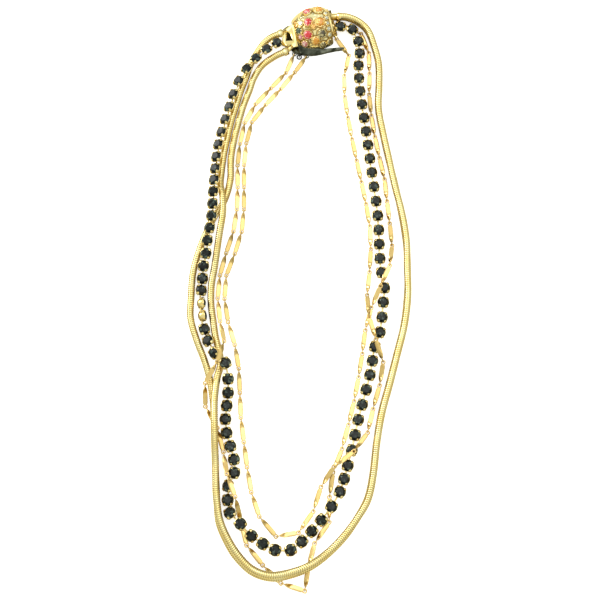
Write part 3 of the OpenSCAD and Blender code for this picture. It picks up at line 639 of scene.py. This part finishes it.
def brilliant(r, table, low, girdle, crown, top):
    """A round cut about z: octagon table, 8 stars, 8 kites, 16 girdle facets, a band and a pavilion.
    Every facet has its own corners, so it shades flat and carries one mark of painted reflection;
    the table has 8 of them, painted reflections of the facets that show through it."""
    k, j = np.arange(8), np.arange(16)
    a8, a16 = np.pi / 4 * k, np.pi / 8 * j

    def ring(angles, radius, z):
        return np.stack([radius * np.cos(angles), radius * np.sin(angles), np.full(len(angles), z)], -1)

    mid = (r + table) / 2 * TIP_SHARE
    fall = (top - crown) / (r - table)
    t = ring(a8, table, top)
    m = ring(a8 + np.pi / 8, mid, top - (mid * np.cos(np.pi / 8) - table) * fall)
    g, h = ring(a16, r, crown), ring(a16, r, girdle)
    p = ring(a8, r * FOOT_SHARE, low)
    e, o, nxt = g[2 * k], g[2 * k + 1], g[(2 * k + 2) % 16]
    tris = np.concatenate([
        np.stack([np.broadcast_to([0.0, 0.0, top], (8, 3)), t, np.roll(t, -1, 0)], 1),
        np.stack([t, m, np.roll(t, -1, 0)], 1),
        np.stack([t, np.roll(m, 1, 0), e], 1), np.stack([t, e, m], 1),
        np.stack([m, e, o], 1), np.stack([m, o, nxt], 1)])
    g2, h2 = np.roll(g, -1, 0), np.roll(h, -1, 0)
    band = np.concatenate([np.stack([g, h, h2], 1), np.stack([g, h2, g2], 1)])
    half = (j + 1) // 2 % 8
    pav = np.concatenate([np.stack([h[j], p[half], h2[j]], 1),
                          np.stack([h[2 * k + 1], p[k], p[(k + 1) % 8]], 1)])
    foot = np.stack([np.broadcast_to(p[0], (6, 3)), p[2:8], p[1:7]], 1)
    facets = np.concatenate([TABLE + k, STARS + k, np.tile(KITES + k, 2), GIRDLE + j,
                             np.tile(BAND + j, 2), PAVILION + half, PAVILION + k,
                             np.full(len(foot), FOOT)])
    return np.concatenate([tris, band, pav, foot]), facets


def cut_stones(name, cut, frames, material, replaces, seed, table_range=None, glint=0.0):
    """Cut stones set in frames (x, y, z, o), with a mark between 0 and 1 for each facet of each stone,
    which sets its painted reflection. The marks in the table are spread over table_range, and glint
    raises those on the left side as a painted highlight from the left."""
    tris, facets = cut
    o = frames[-1]
    verts = set_in(tris, *frames).reshape(-1, 3)
    rng = np.random.default_rng(seed)
    marks = rng.random((len(o), MARKS)) ** MARK_POWER
    # Painted glint: facets on a stone's left side are marked brighter
    if glint:
        centre = verts.reshape(len(o), len(tris), 3, 3).mean(2) - o[:, None]
        marks[:, facets] += glint * smoothstep(0.0, GLINT_FULL, -centre[..., 0] / SEATS[:, 2].mean())
    # Painted reflections through the table, spread over the given range
    if table_range is not None:
        least, most = table_range
        marks[:, TABLE:] = least + (most - least) * rng.random((len(o), MARKS - TABLE))
    count = len(o) * len(tris)
    faces = np.arange(count * 3).reshape(-1, 3)
    piece(name, [(verts, np.zeros((0, 4), int), faces)], material, replaces,
          marks={"facet": np.clip(marks[:, facets], 0, 1).reshape(-1)})


def cup_frames():
    """Centre, direction, side and axis of each cup, as the solids have them."""
    keys, rows = CUPS[:, 0], CUPS[:, 1:4]
    i = np.arange(float(CUP_COUNT))
    before, after = np.maximum(i - 0.5, 0), np.minimum(i + 0.5, CUP_COUNT - 1)
    at = spline(rows, keys, i)
    d = unit(spline(rows, keys, after) - spline(rows, keys, before))
    y = turned(d, np.interp(i, keys, CUPS[:, 4]))
    return at, d, y, np.cross(d, y)


def lathe(profile, around):
    """A profile of radius and height turned about z, as one tube (station, corner, xyz)."""
    a = circle(around)
    p = np.asarray(profile, float)
    return np.stack([p[:, :1] * np.cos(a), p[:, :1] * np.sin(a), np.repeat(p[:, 1:], around, 1)], -1)


def claws(angles, path, width, thick):
    """Prongs: a rounded section carried up a path of radius and height, narrower towards its tip."""
    corners, power, narrow, tip = 8, 0.8, 0.62, 0.3
    p = np.asarray(path, float)
    way = unit(np.gradient(p, axis=0))
    out = np.stack([way[:, 1], -way[:, 0]], -1)
    c, s = rounded(corners, power)
    taper = np.linspace(1.0, narrow, len(p))
    taper[-1] = tip
    radial = p[:, None, 0] + out[:, None, 0] * s * thick / 2 * taper[:, None]
    height = p[:, None, 1] + out[:, None, 1] * s * thick / 2 * taper[:, None]
    across = -c[None, :] * width / 2 * taper[:, None]
    a = np.radians(angles)[:, None, None]
    return np.stack([radial * np.cos(a) - across * np.sin(a), radial * np.sin(a) + across * np.cos(a),
                     np.broadcast_to(height, (len(angles),) + height.shape)], -1)


# Radius and height along a cup's wall and along its claws; a claw's width and thickness; the degrees
# at which the claws stand; how many sides walls and necks have
CUP_WALL = [(0.4, -0.9), (0.98, -0.9), (1.1, -0.84), (1.55, -0.3), (1.92, 0.2), (2.1, 0.5),
            (2.2, 0.72), (2.24, 0.86), (2.12, 0.92), (2.04, 0.7), (1.3, 0.1), (0.4, -0.1)]
CUP_CLAW = [(1.75, -0.3), (2.1, 0.3), (2.34, 0.75), (2.34, 1.1), (2.16, 1.34), (1.9, 1.56), (1.66, 1.72)]
CUP_CLAW_W, CLAW_T, CUP_CLAWS_AT = 1.3, 0.3, (40, 140, 220, 320)
WALL_SIDES, NECK_SIDES, CUP_SHARP = 24, 10, 40.0

# Places along a neck from 0 to 1, and its radius there in NECK_R
NECK_PLACES, NECK_WAIST = np.array([0.0, 0.3, 0.5, 0.7, 1.0]), np.array([1.7, 1.6, 1.5, 1.5, 1.6])

# The jets' cut
JET_CUT = {"r": 2.08, "table": 1.2, "low": -0.3, "girdle": 0.62, "crown": 0.88, "top": 1.96}


def cup_chain(at, d, y, z):
    """Gold of the rhinestone chain: for each cup a turned wall, four prongs and the neck to the next
    cup, which ends 1 mm before that cup's centre."""
    frames = (d, y, z, at)
    wall = set_in(lathe(CUP_WALL, WALL_SIDES), *frames)
    prong = set_in(claws(CUP_CLAWS_AT, CUP_CLAW, CUP_CLAW_W, CLAW_T), *frames)
    ball = np.concatenate([(at - d)[1:], RIGHT_BALL[None]])
    way = unit(ball - at)
    side = level(way)
    up = np.cross(way, side)
    length = np.linalg.norm(ball - at, axis=1)
    u, waist, a = NECK_PLACES, NECK_WAIST * NECK_R, circle(NECK_SIDES)
    neck = ((at[:, None] + way[:, None] * (length[:, None] * u)[..., None])[:, :, None]
            + waist[None, :, None, None] * (np.cos(a)[None, None, :, None] * side[:, None, None]
                                            + np.sin(a)[None, None, :, None] * up[:, None, None]))
    return [tubes(wall), tubes(prong.reshape((-1,) + prong.shape[-3:])), tubes(neck)]


at, d, y, z = cup_frames()
chain_nodes = ("rhinestone_chain_left", "rhinestone_chain_right")
piece("rhinestone_cups", cup_chain(at, d, y, z), CUP_GOLD, chain_nodes, CUP_SHARP)
# The jets' facets and tables take painted reflections
cut_stones("jet_rhinestones", brilliant(**JET_CUT), (d, y, z, at), JET, chain_nodes,
           seed=7, table_range=(0.1, 0.85))


# Clasp

# Stations of the dome between its lips, how far from its ends they start, and the corners of each
DOME_STATIONS, DOME_START, DOME_CORNERS = 60, 0.8, 101

# Steps of a lip: inwards along the axis and along the radius
LIPS = ((0.0, 0.35), (0.1, 0.14), (0.32, 0.0))

# Width of a setting's edge, and from where to where beyond it the dome's painted shade fades
SETTING_EDGE, SHADE_RANGE = 0.3, (0.1, 0.7)

# A setting's sides, its claws' width, its first claw's degrees from the seat's angle, and how many of
# the last seats hold beads, which have no claws
SETTING_SIDES, SETTING_CLAW_W, CLAW_TURN, BEADS, CLASP_SHARP = 32, 0.46, 15, 2, 40.0


def bulge(x):
    """Barrel radius at x: a lengthwise arc, widest at BARREL_MID."""
    return BARREL_R - BARREL_ARC + np.sqrt(BARREL_ARC ** 2 - (x - BARREL_MID) ** 2)


def clasp_place(points):
    """From the barrel's own frame to the necklace's: turned about z by the clasp's turn."""
    a = math.radians(CLASP_TURN)
    turn = np.array([[math.cos(a), -math.sin(a), 0], [math.sin(a), math.cos(a), 0], [0, 0, 1]])
    return points @ turn.T


def seat_frames():
    """x, y, z and origin of each seat: turned about the barrel's axis, then tilted with its arc."""
    x, angle, _ = SEATS.T
    a, b = -np.radians(angle), np.arcsin((x - BARREL_MID) / BARREL_ARC)
    zero, one = np.zeros(len(x)), np.ones(len(x))
    about = np.stack([one, zero, zero, zero, np.cos(a), -np.sin(a), zero, np.sin(a), np.cos(a)], -1)
    tilt = np.stack([np.cos(b), zero, np.sin(b), zero, one, zero, -np.sin(b), zero, np.cos(b)], -1)
    about = about.reshape(-1, 3, 3)
    axes = about @ tilt.reshape(-1, 3, 3)
    o = np.einsum("kij,kj->ki", about, np.stack([x, zero, bulge(x)], -1)) + [0, 0, AXIS_Z]
    x, y, z = (clasp_place(axes[:, :, i]) for i in range(3))
    return x, y, z, clasp_place(o) + CLASP_AT


def barrel_dome():
    """Half barrel: at each x an arc of radius bulge(x) above the plate, and a lip at each end."""
    along, inwards = np.array(LIPS).T
    between = np.linspace(X_LEFT + DOME_START, X_RIGHT - DOME_START, DOME_STATIONS)
    xs = np.concatenate([X_LEFT + along, between, X_RIGHT - along[::-1]])
    r = bulge(xs) - np.concatenate([inwards, np.zeros(DOME_STATIONS), inwards[::-1]])
    edge = np.arccos((PLATE_T - AXIS_Z) / r)
    angle = edge[:, None] * np.linspace(1, -1, DOME_CORNERS)[None, :]
    rings = np.stack([np.broadcast_to(xs[:, None], angle.shape), r[:, None] * np.sin(angle),
                      AXIS_Z + r[:, None] * np.cos(angle)], -1)
    return tubes((clasp_place(rings) + CLASP_AT)[None])


def shade_beside_settings(points):
    """Painted shade on the dome: 1 beside a setting, fading to 0 over SHADE_RANGE from it."""
    _, _, _, o = seat_frames()
    away = np.linalg.norm(points[:, None] - o[None], axis=2) - SEATS[None, :, 2] - SETTING_EDGE
    return 1 - smoothstep(*SHADE_RANGE, away.min(1))


def above_plate(points):
    """The same points with none lower than the plate's top."""
    return np.concatenate([points[..., :2], np.maximum(points[..., 2:], PLATE_T)], -1)


def settings():
    """Round settings of the clasp's stones and beads: a turned collet each, and four to eight claws
    over a stone's edge."""
    x, y, z, o = seat_frames()
    parts = []
    for k, (r, turn) in enumerate(zip(SEATS[:, 2], SEATS[:, 1])):
        where = (x[k:k + 1], y[k:k + 1], z[k:k + 1], o[k:k + 1])
        rim = 0.12 + 0.1 * r
        collet = [(r * 0.5, -1.1), (r + 0.2, -1.1), (r + 0.28, rim), (r + 0.24, rim + 0.1),
                  (r + 0.12, rim + 0.12), (r + 0.05, rim), (r + 0.03, -0.7), (r * 0.5, -0.75)]
        parts.append(tubes(above_plate(set_in(lathe(collet, SETTING_SIDES), *where))))
        if k < len(SEATS) - BEADS:
            n = 8 if r > 1.2 else 6 if r > 0.9 else 4
            angles = np.arange(n) * 360.0 / n + CLAW_TURN + turn
            path = [(r + 0.16, -0.4), (r + 0.2, 0.15), (r + 0.14, rim + 0.2), (r - 0.06, rim + 0.4),
                    (r - 0.24, rim + 0.44)]
            claw = above_plate(set_in(claws(angles, path, SETTING_CLAW_W, CLAW_T), *where))
            parts.append(tubes(claw.reshape((-1,) + claw.shape[-3:])))
    return parts


dome, set_in_dome = barrel_dome(), settings()
# The dome is painted darker beside each setting, as painted shade; the settings themselves get none
shade = np.concatenate([shade_beside_settings(dome[0])] + [np.zeros(len(verts)) for verts, _, _ in set_in_dome])
piece("clasp_barrel", [dome] + set_in_dome, DOME_GOLD, ("clasp_dome",), CLASP_SHARP,
      {"groove": shade})

sx, sy, sz, so = seat_frames()
GEMS = (("stone_red_1", RED), ("stone_red_2", RED), ("stone_red_3", RED), ("stone_pink_1", ROSE),
        ("stone_white_1", ICE), ("stone_green_1", OLIVE), ("stone_orange_1", AMBER),
        ("stone_orange_2", AMBER), ("stone_orange_3", AMBER), ("stone_orange_4", AMBER),
        ("stone_smoke_1", SMOKE), ("stone_smoke_2", SMOKE), ("stone_smoke_3", SMOKE),
        ("stone_blush_1", ROSE), ("stone_clear_1", ICE), ("stone_clear_2", ICE),
        ("stone_clear_3", ICE), ("stone_clear_4", ICE), ("stone_clear_5", ICE))
# Each clasp stone takes a painted glint on its left side
for k, (node, material) in enumerate(GEMS):
    r = SEATS[k, 2]
    cut = brilliant(r, table=r * 0.58, low=-0.75, girdle=-0.1, crown=0.18, top=0.2 + 0.36 * r)
    cut_stones("cut_" + node, cut, (sx[k:k + 1], sy[k:k + 1], sz[k:k + 1], so[k:k + 1]), material,
               (node,), seed=20 + k, glint=0.6)

softened("clasp_back", "back_plate", STEEL)
# The floor of the left end frame's recess is painted near black, as painted shade
softened("end_frame_left", "left_end_frame", FRAME_GOLD, painted_shade_height=2.7)
softened("end_bar_right", "right_end_bar", GOLD)
softened("ring_hook", "wire_ring", STEEL)
softened("bead_amber_1", "amber_bead_1", TOPAZ)
softened("bead_amber_2", "amber_bead_2", TOPAZ)


# Floor and light

def floor(half=2.0, z=-0.0002, glow=0.7):
    """White paper just under the necklace, half its width and its height in metres. It glows for the
    camera, and what it sends back to the necklace is warmer and dimmer than it looks."""
    mesh = bpy.data.meshes.new("floor")
    mesh.from_pydata([(-half, -half, z), (half, -half, z), (half, half, z), (-half, half, z)], [],
                     [(0, 1, 2, 3)])
    m, n, link, shader = blank("white paper")
    t, dim = tone(n, (0.93, 0.93, 0.925), (0.91, 0.91, 0.905), scale=3.0), n.new("ShaderNodeMix")
    dim.data_type = "RGBA"
    dim.inputs["A"].default_value = (0.82, 0.76, 0.56, 1.0)
    link(t.outputs["Color"], dim.inputs["B"])
    link(dim.outputs["Result"], shader.inputs["Base Color"])
    shader.inputs["Roughness"].default_value = 0.9
    shader.inputs["Specular IOR Level"].default_value = 0.1
    seen, glows = n.new("ShaderNodeLightPath"), n.new("ShaderNodeMath")
    glows.operation = "MULTIPLY"
    glows.inputs[1].default_value = glow
    link(seen.outputs["Is Camera Ray"], glows.inputs[0])
    link(seen.outputs["Is Camera Ray"], dim.inputs["Factor"])
    link(glows.outputs[0], shader.inputs["Emission Strength"])
    shader.inputs["Emission Color"].default_value = (1.0, 1.0, 1.0, 1.0)
    mesh.materials.append(m)
    obj = placed("floor", mesh)


def softbox(name, place, size, power):
    """A square area light that faces the necklace; place and size in metres."""
    light = bpy.data.lights.new(name, "AREA")
    light.shape = "SQUARE"
    light.size = size
    light.energy = power
    obj = placed(name, light)
    obj.location = place
    obj.rotation_euler = (-Vector(place)).to_track_quat("-Z", "Y").to_euler()


def studio(color=(0.95, 1.0, 0.88, 1.0), low=0.05, high=0.5, dim=0.3, bright=0.95):
    """World light that brightens from dim to bright as the direction climbs from low to high."""
    world = bpy.data.worlds.new("studio")
    bpy.context.scene.world = world
    world.use_nodes = True
    n, link = world.node_tree.nodes, world.node_tree.links.new
    place, split, climb = (n.new("ShaderNodeTexCoord"), n.new("ShaderNodeSeparateXYZ"),
                           n.new("ShaderNodeMapRange"))
    climb.interpolation_type = "SMOOTHSTEP"
    for label, value in (("From Min", low), ("From Max", high), ("To Min", dim), ("To Max", bright)):
        climb.inputs[label].default_value = value
    light = n["Background"]
    light.inputs["Color"].default_value = color
    link(place.outputs["Generated"], split.inputs["Vector"])
    link(split.outputs["Z"], climb.inputs["Value"])
    link(climb.outputs["Result"], light.inputs["Strength"])


floor()
softbox("left key", (-1.0, 0.6, 0.6), size=0.7, power=7.0)
softbox("top fill", (0.15, 0.35, 1.1), size=1.0, power=3.6)
studio()
bpy.context.scene.view_settings.view_transform = "Standard"
bpy.context.scene.view_settings.look = "None"
